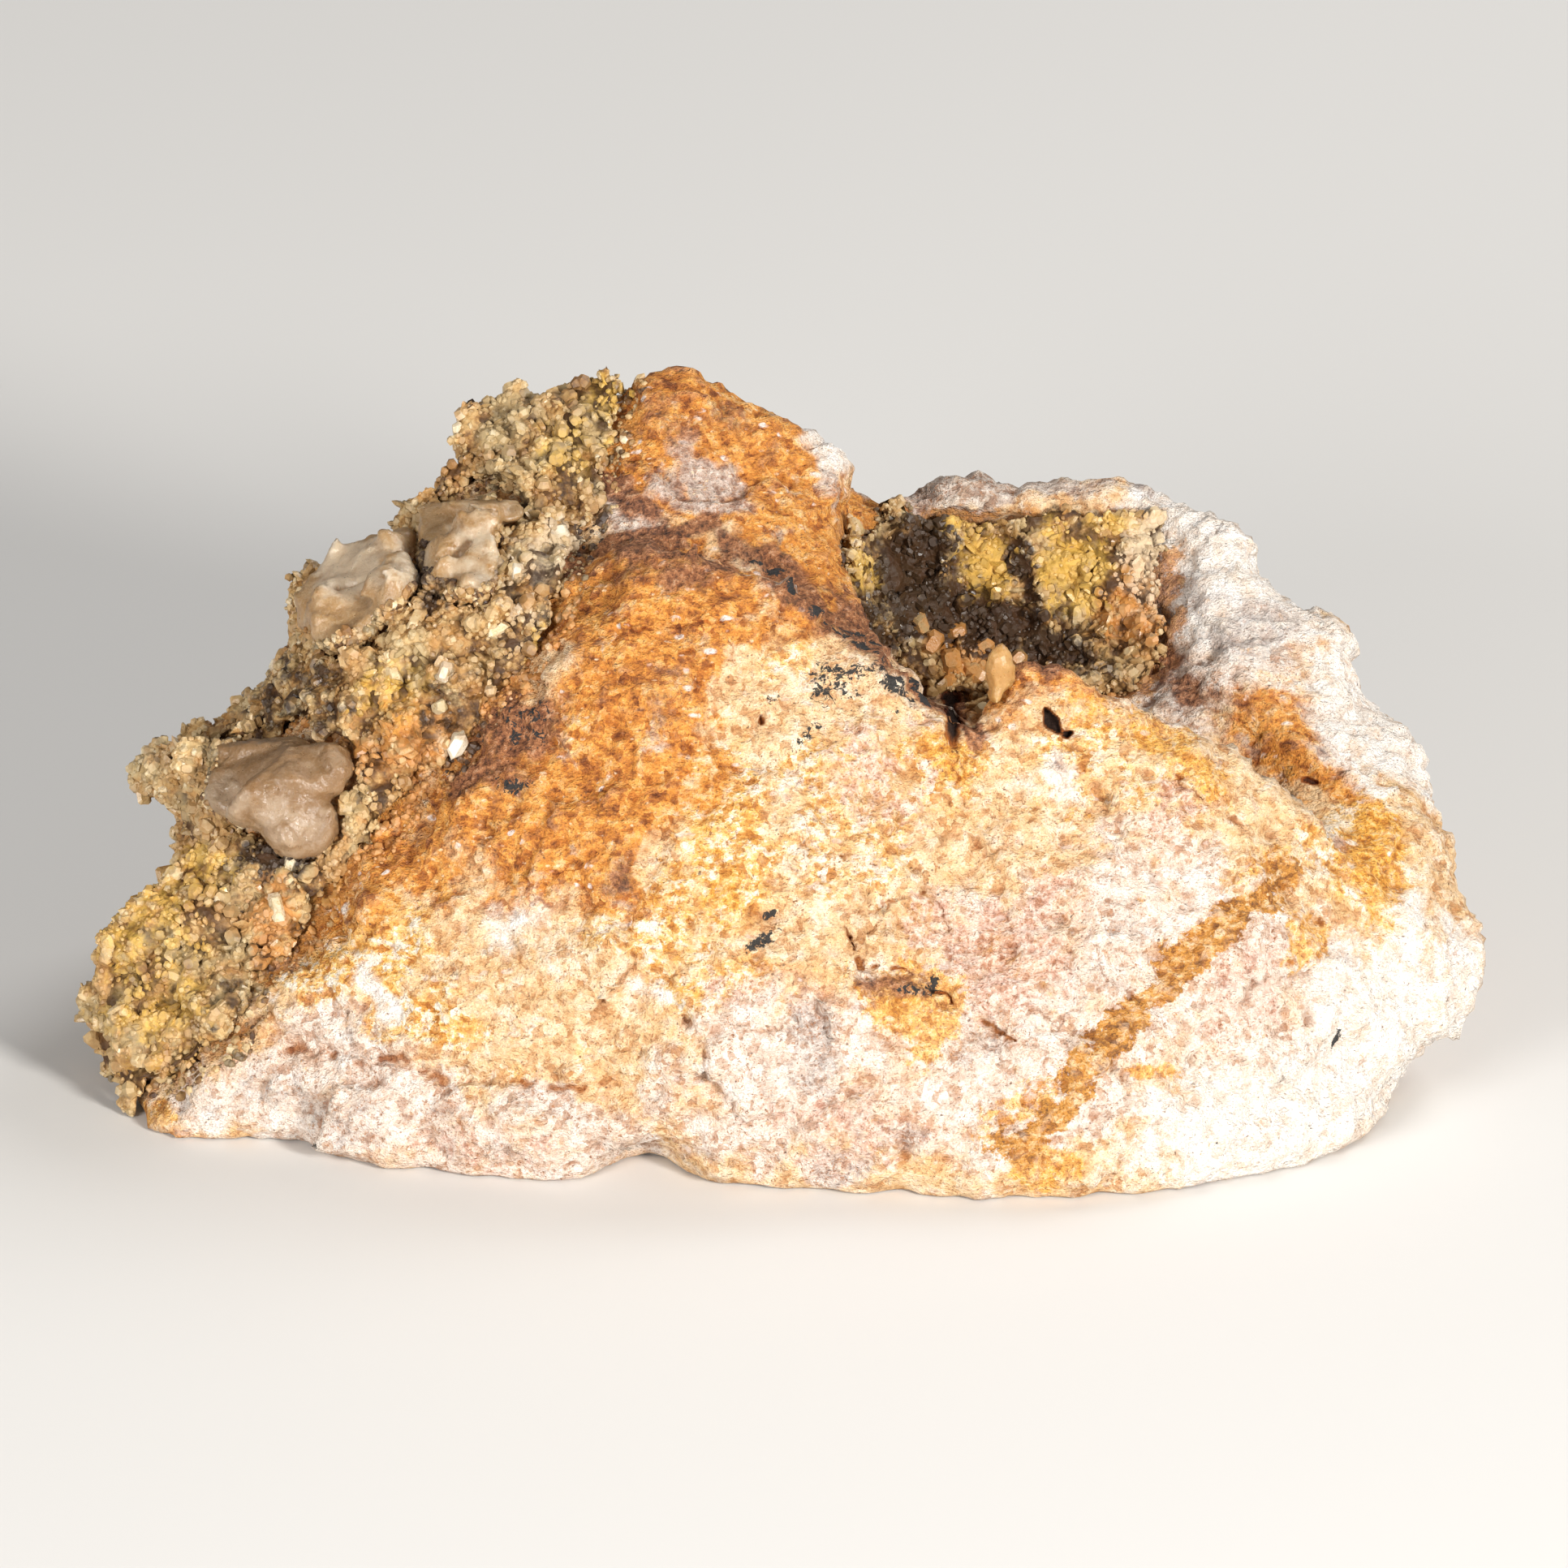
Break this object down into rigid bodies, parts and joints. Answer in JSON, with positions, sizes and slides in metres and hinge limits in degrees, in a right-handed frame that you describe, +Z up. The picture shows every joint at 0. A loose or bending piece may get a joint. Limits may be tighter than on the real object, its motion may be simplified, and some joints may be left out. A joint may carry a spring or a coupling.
{
  "type": "wulfenite specimen",
  "caption": "Hand specimen of wulfenite: small yellow crystals in crusts on one flank and in the hollow of an iron-stained cream and orange matrix block.",
  "frame": {"origin": "centre of the bounding box, on the surface that the specimen rests on", "axes": "+X along the length, from the crystal-covered flank to the white end; +Y from the front face to the back; +Z up"},
  "size_m": [0.0796, 0.0483, 0.0365],
  "materials": {
    "matrix": "chalky and rough, cream with orange-brown iron stain; stands in for stone",
    "druse": "olive to honey yellow crystals, resinous",
    "pale_crystal": "pale beige, clear to milky",
    "grey_crystal": "grey-violet, milky",
    "amber_crystal": "clear amber"
  },
  "bodies": {
    "root": {"matrix": "matrix", "flank_druse": "druse", "vug_druse": "druse", "pale_cluster_left": "pale_crystal", "pale_cluster_upper": "pale_crystal", "pale_ledge": "grey_crystal", "cleft_crystal": "amber_crystal"}
  },
  "joints": []
}
